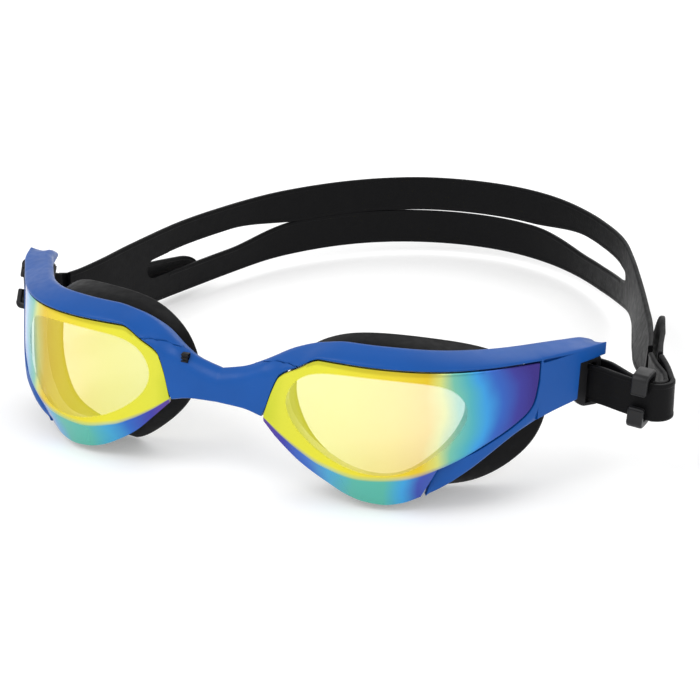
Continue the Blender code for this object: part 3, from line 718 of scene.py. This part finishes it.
def outside_eye(points):
    """How far each (length, height) lies outside the eye opening, in millimetres; negative inside."""
    outline = eye_outline(0.0)
    nexts = np.roll(outline, -1, axis=0)
    along = nexts - outline
    offset = points[:, None] - outline
    share = np.clip((offset * along).sum(-1) / (along ** 2).sum(-1), 0.0, 1.0)
    far = np.linalg.norm(offset - share[..., None] * along, axis=-1).min(axis=1)
    crosses = (outline[:, 1] > points[:, 1:]) != (nexts[:, 1] > points[:, 1:])
    rise = np.where(np.abs(along[:, 1]) < 1e-9, 1e-9, along[:, 1])
    left_of = points[:, :1] < outline[:, 0] + (points[:, 1:] - outline[:, 1]) / rise * along[:, 0]
    inside = (crosses & left_of).sum(axis=1) % 2 == 1
    return np.where(inside, -far, far)


def lens_section(length):
    """The lens's outline at a length: rows of height, depth, and whether it is bevel and front."""
    top, crease = read_off(LENS_TOP, length), read_off(LENS_CREASE, length)
    closing = min(max((length - LENS_BOTTOM[-1][0]) / BEVEL_CLOSING, 0.0), 1.0)
    bottom = min(read_off(LENS_BOTTOM, length), crease - CHAMFER)
    bottom += (crease - CHAMFER - bottom) * closing
    back = max(BEVEL_DEPTH * smooth_step(length, LENS_SPAN[0], BEVEL_FULL), CHAMFER)
    back += (CHAMFER - back) * closing
    rows = [(bottom + (crease - bottom) * t, back * (1 - t), 1.0, 1.0) for t in np.linspace(0.0, 0.94, 8)]
    rows += [(crease + 0.05, 0.01, 0.5, 1.0)]
    rows += [(crease + (top - crease) * t, 0.0, 0.0, 1.0) for t in np.linspace(0.04, 0.985, 26)]
    edge = min(0.12, 0.1 * (top - crease))
    rows += [(top, edge, 0.0, 1.0), (top, LENS_THICK, 0.0, 0.0)]
    inset = min(0.3, 0.1 * (top - crease))
    rows += [(top + (crease + inset - top) * t, LENS_THICK, 0.0, 0.0) for t in (0.25, 0.5, 0.75, 1.0)]
    rows += [(bottom + inset, back + 0.7 * LENS_THICK, 1.0, 0.0)]
    return rows


def make_lens(name, side, material):
    """A wrapped shell whose lower part turns back at the crease."""
    low, high = LENS_SPAN
    stations = np.concatenate([spread(low, 18.0, 0.3), spread(18.5, 54.0, 0.6), spread(54.2, 57.4, 0.2),
                               spread(58.0, 78.0, 0.6), spread(78.4, high, 0.3)])
    sections = [(length, lens_section(length)) for length in stations]
    rings = [[on_wrap(length, row[0], row[1], side) for row in rows] for length, rows in sections]
    flat = np.array([(length, *row) for length, rows in sections for row in rows])
    bend = np.minimum(BAND_BEND * (flat[:, 1] - BAND_MIDDLE) ** 2, BAND_MOST)
    run = flat[:, 0] + bend * np.interp(flat[:, 0], BAND_FADE, (0.0, 1.0))
    fields = {"run": run, "bevel": flat[:, 3], "front": flat[:, 4], "eye": outside_eye(flat[:, :2])}
    piece = new_piece(name, [(rings, False)], material, fields, smooth=22.0)
    return place(piece, "frame", name.replace("mirror", "lens"))


def cup_sections(side):
    """For each point round the cup: the throat's edges, the rim's edge, the way inwards, and the throat's
    edges again as (length, height)."""
    inner, outer = eye_outline(THROAT_INNER), eye_outline(THROAT_OUTER)
    rim = smooth_path(GASKET_RIM, EYE_STEPS, closed=True) * np.array([side, 1.0, 1.0])
    rim[:, 2] = np.maximum(rim[:, 2], FLOOR + 0.02)
    middle = rim.mean(axis=0)
    for inside, outside, edge in zip(inner, outer, rim):
        towards = (middle - edge) * np.array([1.0, 0.0, 1.0])
        throat = [np.array(on_wrap(*point, GASKET_FRONT, side)) for point in (inside, outside)]
        yield (*throat, edge, towards / np.linalg.norm(towards), inside, outside)


def make_gasket(name, side, material):
    """A soft cup from the carrier to the face, whose edge rolls inwards to a thin lip."""
    back = np.array([0.0, -GASKET_WALL, 0.0])
    rings = []
    for throat_in, throat_out, edge, towards, _, _ in cup_sections(side):
        belly = 0.45 * throat_out + 0.55 * edge - 0.8 * towards
        lip = edge + GASKET_LIP * towards + np.array([0.0, 0.5, 0.0])
        corners = [throat_in, throat_out, 0.72 * throat_out + 0.28 * edge - 0.35 * towards, belly,
                   edge + back, edge, lip, lip + back, belly + GASKET_WALL * towards]
        rings.append(soften(corners, [0.3, 0.5, 1.5, 2.5, 0.8, 0.7, 0.6, 0.5, 2.0]))
    piece = new_piece(name, [(rings, True)], material, smooth=50.0)
    return place(piece, "frame", name.replace("cup", "gasket"))


def make_carrier(name, side, material):
    """The lens's clear inner body: a ring behind the coat, with a flange towards the temple."""
    rings = []
    for throat_in, throat_out, _, towards, inside, outside in cup_sections(side):
        flange = outside + (outside - inside) * FLANGE_WIDE * smooth_step(outside[0], *FLANGE_SPAN)
        front = [(*inside, CARRIER_FRONT), (*flange, CARRIER_FRONT), (*flange, CARRIER_FRONT + 0.6),
                 (*outside, CARRIER_FRONT + 1.2)]
        ring = [np.array(on_wrap(*point, side)) for point in front]
        ring += [throat_out + 0.1 * towards, throat_in + 0.1 * towards]
        rings.append(soften(ring, [0.3, 0.15, 0.15, 0.4, 0.1, 0.2], 3))
    piece = new_piece(name, [(rings, True)], material, smooth=50.0)
    return place(piece, "frame", name.replace("clear_body", "lens_carrier"))


# ---- The temple anchors ----

def carve(obj, cutter):
    """Cuts the cutter out of obj and removes it."""
    cut = obj.modifiers.new("cut", "BOOLEAN")
    cut.operation = "DIFFERENCE"
    cut.object = cutter
    graph = bpy.context.evaluated_depsgraph_get()
    mesh = bpy.data.meshes.new_from_object(obj.evaluated_get(graph))
    obj.modifiers.clear()
    obj.data = mesh
    mesh.shade_smooth()
    mesh.set_sharp_from_angle(angle=math.radians(38.0))
    bpy.data.objects.remove(cutter, do_unlink=True)


def plate_ring(length, top, bottom, front, back, side, radius):
    """One ring of a flat plate behind the front surface."""
    corners = [(bottom, front), (top, front), (top, back), (bottom, back)]
    return [on_wrap(length, *point, side) for point in soften(corners, [radius] * 4)]


def make_anchor(name, side, material):
    """A strip behind the temple panel with a window near its end; what is left is the strap's bar."""
    back = ANCHOR_FRONT + ANCHOR_THICK
    rings = [plate_ring(length, ANCHOR_TOP, read_off(ANCHOR_BOTTOM, length), ANCHOR_FRONT, back, side, 0.45)
             for length in spread(*ANCHOR_SPAN, 0.8)]
    piece = new_piece(name, [(with_rounded_ends(rings, 0.45), False)], material)
    low, high = WINDOW_HEIGHT
    window = [plate_ring(length, high, low, ANCHOR_FRONT - 2.0, back + 2.0, side, 0.8)
              for length in spread(*WINDOW_SPAN, 0.5)]
    carve(piece, new_piece(name + "_window", [(window, False)], material))
    return place(piece, "frame", name.replace("strap_anchor", "temple_anchor"))


# ---- The strap ----

def ribbon_rings(rows, thickness=STRAP_THICK, border=0.10, edge=0.45):
    """Rounded upright sections along rows of x, y, top and bottom, with slightly raised borders outside."""
    rows = np.asarray(rows, dtype=float)
    tangents = np.gradient(rows[:, :2], axis=0)
    tangents /= np.linalg.norm(tangents, axis=1)[:, None]
    rings = []
    for (x, y, top, bottom), (along_x, along_y) in zip(rows, tangents):
        half = thickness / 2
        inset = min(1.0, 0.3 * (top - bottom))
        corners = [(half, bottom), (half, bottom + inset), (half - border, bottom + inset + 0.3 * edge),
                   (half - border, top - inset - 0.3 * edge), (half, top - inset), (half, top),
                   (-half, top), (-half, bottom)]
        radii = [edge, 0.12, 0.12, 0.12, 0.12, edge, edge, edge]
        rings.append([(x + across * along_y, y - across * along_x, height)
                      for across, height in soften(corners, radii, 3)])
    return rings


def lean_strap(rings, rows):
    """Leans the strap's rings near the left temple outwards, more at their top than at their bottom."""
    low_shifts = [(at, low) for at, low, _ in STRAP_LEAN]
    high_shifts = [(at, high) for at, _, high in STRAP_LEAN]
    leant = []
    for ring, (x, y, top, bottom) in zip(rings, rows):
        if x > 0:
            low, high = read_off(low_shifts, y), read_off(high_shifts, y)
            ring = [(px + low + (high - low) * (pz - bottom) / (top - bottom), py, pz) for px, py, pz in ring]
        leant.append(ring)
    return leant


def band(route, width):
    """A route of x, y and middle height, as rows of x, y, top and bottom."""
    return [(x, y, z + width / 2, z - width / 2) for x, y, z in route]


def turn(centre, radius, start, sweep, heights, steps=14):
    """Points on a level arc; angles are degrees, and the height runs between two values."""
    angles = np.radians(np.linspace(start, start + sweep, steps + 1))
    return [(centre[0] + radius * math.cos(angle), centre[1] + radius * math.sin(angle), height)
            for angle, height in zip(angles, np.linspace(*heights, steps + 1))]


BAR = on_wrap(BAR_LENGTH, LOOP_HEIGHT, BAR_DEPTH, 1)


def make_left_loop(material):
    """The long loop: in from the head, round the buckle's turn, round the bar and out to the tail."""
    low = LEFT_INNER[-1][2]
    turn_radii = [LEFT_TURN_CENTRE[1] - layer[-1][1] for layer in (LEFT_INNER, LEFT_OUTER)]
    inner_turn = turn(LEFT_TURN_CENTRE, turn_radii[0], LEFT_TURN_SWEEP - 90.0, -LEFT_TURN_SWEEP, (low, low))
    outer_turn = turn(LEFT_TURN_CENTRE, turn_radii[1], -90.0, LEFT_TURN_SWEEP, (low, low + 0.1))
    bar_turn = turn(BAR, LOOP_TURN, 84.0, 180.0, (BAR[2], BAR[2]))
    route = ([LEFT_HEAD_END, (92.6, 53.2, low + 0.1), (96.2, 48.2, low)] + inner_turn
             + list(reversed(LEFT_INNER[:-1])) + bar_turn + LEFT_OUTER[:-1] + outer_turn
             + [(95.8, 52.2, low + 0.2), LEFT_TAIL_START])
    return make_loop("loop_left", route, material)


def make_right_loop(material):
    """The short loop: both layers run back from the bar and straight through the buckle."""
    centre, along = (np.array(value) for value in BUCKLE_AT["right"])
    along = along / np.hypot(along[0], along[1])
    across = np.array([-along[1], along[0], 0.0]) * (STRAP_THICK + GAP) / 2
    outer = [tuple(centre + across + reach * along) for reach in (-BUCKLE_REACH, BUCKLE_REACH)]
    inner = [tuple(centre - across + reach * along) for reach in (BUCKLE_REACH, -BUCKLE_REACH)]
    bar_turn = turn((-BAR[0], BAR[1]), LOOP_TURN, 27.0, -180.0, (BAR[2], BAR[2]))
    route = list(reversed(RIGHT_INNER_END)) + inner + bar_turn + outer + RIGHT_OUTER_END
    return make_loop("loop_right", route, material)


def make_loop(name, route, material):
    """A loop of the strap along a route."""
    path = smooth_path(route, 3)
    rings = ribbon_rings(band(path, LOOP_WIDTH))
    piece = new_piece(name, [(with_rounded_ends(rings, 0.3, 3), False)], material)
    return place(piece, "frame", "strap_" + name)


def make_tail(name, route, material):
    """A free end with a rounded tip."""
    path = smooth_path(route, 12)
    lengths = run_lengths(path)
    left = np.clip((lengths[-1] - lengths) / TAIL_POINT, 0.0, 1.0)
    half = np.maximum(LOOP_WIDTH / 2 * np.sqrt(1.0 - (1.0 - left) ** 2), 0.7)
    rows = np.column_stack([path[:, :2], path[:, 2] + half, path[:, 2] - half])
    twist = TAIL_TWIST * np.clip(lengths / 12.0, 0.0, 1.0)
    rings = [[(px + by * (pz - z) / (LOOP_WIDTH / 2), py, pz) for px, py, pz in ring]
             for ring, by, z in zip(ribbon_rings(rows), twist, path[:, 2])]
    piece = new_piece(name, [(with_rounded_ends(rings, 0.3, 3), False)], material)
    start, end = (metres(point) for point in (path[0], path[12]))
    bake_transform(piece)
    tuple(start)
    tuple(end)
    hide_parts("strap_" + name)
    return piece


def metres(point):
    """A point of the design space in the row frame."""
    return tuple((np.array(point) - np.array(ORIGIN)) * MM)


def strap_rows():
    """The whole strap's route: lengths, rows, the slot's two ends and the middle of the pads."""
    path = smooth_path(STRAP_ROUTE, 12)
    lengths = run_lengths(path)
    halfway = int(np.argmax(path[:, 1]))
    ends = (np.interp(SPLIT_AT[0], path[:halfway, 1], lengths[:halfway]),
            np.interp(-SPLIT_AT[1], -path[halfway:, 1], lengths[halfway:]))
    pads = lengths[np.argmin(np.hypot(path[:, 0] - PAD_MIDDLE[0], path[:, 1] - PAD_MIDDLE[1]))]
    return lengths, path, ends, pads


def make_strap(material):
    """The two yokes and the two branches between them, all cut from one route."""
    lengths, path, ends, pads = strap_rows()

    def rows(at):
        return np.stack([np.interp(at, lengths, path[:, k]) for k in range(4)], axis=1)

    def branch_width(length):
        return PAD_WIDTH - (PAD_WIDTH - BRANCH_WIDTH) * smooth_step(abs(length - pads), PAD_FULL, PAD_NONE)

    yokes = (("right", spread(0.0, ends[0] + SLOT_STUB, 0.8), ends[0] - SLOT_LONGER, 1),
             ("left", spread(ends[1] - SLOT_STUB, lengths[-1], 0.8), ends[1], -1))
    for name, at, slot_end, inwards in yokes:
        yoke_rows = rows(at)
        yoke = new_piece("yoke_" + name, [(lean_strap(ribbon_rings(yoke_rows), yoke_rows), False)], material)
        reaches = np.concatenate([[0.0, 0.03, 0.1, 0.25], spread(0.5, 6.0, 0.4), [11.0]])
        slot, full = [], []
        for reach in reaches:
            length = slot_end + inwards * reach
            x, y, top, bottom = rows([length])[0]
            half, middle = (top - bottom) / 2 - branch_width(length), (top + bottom) / 2
            if reach < half:
                half = max(math.sqrt(half ** 2 - (half - reach) ** 2), 0.1)
            slot.append((x, y, middle + half, middle - half))
            full.append((x, y, top, bottom))
        slot_rings = lean_strap(ribbon_rings(slot, 4 * STRAP_THICK, 0.0, 0.01), full)
        cutter = new_piece("slot_" + name, [(slot_rings, False)], material)
        carve(yoke, cutter)
        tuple(YOKE_BLEND[0])
        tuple(YOKE_BLEND[1])
        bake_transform(yoke)
        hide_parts("strap_yoke_" + name)

    at = spread(ends[0] + SLOT_STUB, ends[1] - SLOT_STUB, 1.2)
    middle_rows = rows(at)
    widths = np.array([branch_width(length) for length in at])
    hinge = metres((*middle_rows[0, :2], 0.0))
    for name, low, high in (("upper_branch", middle_rows[:, 2] - widths, middle_rows[:, 2]),
                            ("lower_branch", middle_rows[:, 3], middle_rows[:, 3] + widths)):
        branch = lean_strap(ribbon_rings(np.column_stack([middle_rows[:, :2], high, low])), middle_rows)
        piece = new_piece(name.replace("branch", "band"), [(branch, False)], material)
        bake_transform(piece)
        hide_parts("strap_" + name)


# ---- The buckles ----

def make_buckle(name, side, material):
    """A ring round both layers of the strap; its outer bar is two fingers with a mouth between them."""
    centre, along = (np.array(value) for value in BUCKLE_AT[name.split("_")[1]])
    along = along / np.linalg.norm(along)
    outwards = side * np.array([along[1], -along[0], 0.0])
    outwards /= np.linalg.norm(outwards)
    up = np.cross(outwards, along) * side
    wide = BUCKLE_ROOM[0] / 2 + BUCKLE_BAR / 2
    proud = FINGERS_PROUD[name.split("_")[1]]
    high = BUCKLE_ROOM[1] / 2 + BUCKLE_RAIL / 2
    mouth, bend = BUCKLE_MOUTH / 2, 0.9
    half = [(wide + proud, mouth), (wide + proud, (mouth + high) / 2), (wide + proud, high - bend)]
    half += [(wide + proud - bend * (1 - math.sin(a)), high - bend * (1 - math.cos(a)))
             for a in (math.pi / 3, math.pi / 6, 0.0)]
    half += [(0.0, high + 0.15)]
    half += [(bend - wide - bend * math.sin(a), high - bend * (1 - math.cos(a)))
             for a in (0.0, math.pi / 6, math.pi / 3, math.pi / 2)]
    route = half + [(across, -height) for across, height in reversed(half)]
    path = smooth_path(route, 4)
    tangents = np.gradient(path, axis=0)
    tangents /= np.linalg.norm(tangents, axis=1)[:, None]
    rings = []
    for (across, height), (turn_across, turn_up) in zip(path, tangents):
        thick = (BUCKLE_BAR if abs(height) < high - bend else BUCKLE_RAIL) / 2
        long = BUCKLE_LENGTH / 2
        ring = []
        for out, end in soften([(thick, long), (-thick, long), (-thick, -long), (thick, -long)], [0.55] * 4):
            ring.append(centre + (across + out * turn_up) * outwards + (height - out * turn_across) * up
                        + end * along)
        rings.append(ring)
    piece = new_piece(name + "_clip", [(with_rounded_ends(rings, 0.6), False)], material)
    return place(piece, name, name)


# ---- The studio ----

def stage_and_light():
    """A pale floor, a bright even world and large soft lamps."""
    mesh = bpy.data.meshes.new("floor")
    corners = [(across * FLOOR_REACH, back * FLOOR_REACH, -FLOOR_DROP)
               for across, back in ((-1, -1), (1, -1), (1, 1), (-1, 1))]
    mesh.from_pydata(corners, [], [(0, 1, 2, 3)])
    floor = bpy.data.objects.new("floor", mesh)
    bpy.context.scene.collection.objects.link(floor)
    recipe = moulded("pale_floor", (0.80, 0.80, 0.80), 0.8, 2.0, 0.01, 0.005)
    recipe.feed("Emission Color", (1.0, 1.0, 1.0, 1.0))
    recipe.feed("Emission Strength", FLOOR_GLOW)
    mesh.materials.append(recipe.material)
    floor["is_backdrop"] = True
    world = bpy.data.worlds.new("studio")
    world.use_nodes = True
    background = world.node_tree.nodes["Background"]
    background.inputs["Color"].default_value = (1.0, 1.0, 1.0, 1.0)
    background.inputs["Strength"].default_value = WORLD_STRENGTH
    bpy.context.scene.world = world
    for name, place_at, size, power in LAMPS:
        lamp = bpy.data.lights.new(name, "AREA")
        lamp.size, lamp.energy = size, power
        obj = bpy.data.objects.new(name, lamp)
        obj.location = place_at
        obj.rotation_euler = (-Vector(place_at)).to_track_quat("-Z", "Y").to_euler()
        bpy.context.scene.collection.objects.link(obj)
    bpy.context.scene.view_settings.view_transform = "Standard"


def add_camera():
    """A camera in the photograph's place, looking across the lenses from the wearer's front left."""
    turn_cos, turn_sin = math.cos(CAMERA_AZIMUTH), math.sin(CAMERA_AZIMUTH)
    tip_cos, tip_sin = math.cos(CAMERA_ELEVATION), math.sin(CAMERA_ELEVATION)
    back = Vector((turn_sin * tip_cos, -turn_cos * tip_cos, tip_sin))
    right = Vector((turn_cos, turn_sin, 0.0))
    up = back.cross(right)
    aim = Vector(metres(CAMERA_AIM[0] * right + CAMERA_AIM[1] * up))
    camera = bpy.data.cameras.new("camera")
    camera.sensor_width, camera.lens, camera.clip_start = 36.0, CAMERA_LENS, 0.01
    obj = bpy.data.objects.new("camera", camera)
    obj.location = aim + CAMERA_DISTANCE * back
    obj.rotation_euler = back.to_track_quat("Z", "Y").to_euler()
    bpy.context.scene.collection.objects.link(obj)
    bpy.context.scene.camera = obj


add_camera()
stage_and_light()
made = {slot: make() for slot, make in MATERIALS.items()}
make_bridge(made["frame_blue"])
for name, side in SIDES:
    make_frame("shell_" + name, side, made["frame_blue"])
    make_lens("mirror_" + name, side, made["lens_mirror"])
    make_carrier("clear_body_" + name, side, made["carrier_clear"])
    make_gasket("cup_" + name, side, made["gasket_silicone"])
    make_anchor("strap_anchor_" + name, side, made["anchor_black"])
    make_buckle("buckle_" + name, side, made["buckle_black"])
make_latch("latch_right", -1, made["anchor_black"])
make_left_loop(made["strap_silicone"])
make_right_loop(made["strap_silicone"])
make_tail("tail_left", LEFT_TAIL, made["strap_silicone"])
make_tail("tail_right", RIGHT_TAIL, made["strap_silicone"])
make_strap(made["strap_silicone"])

[[list(corner) for corner in box] for box in ((cad_low, cad_high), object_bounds())]
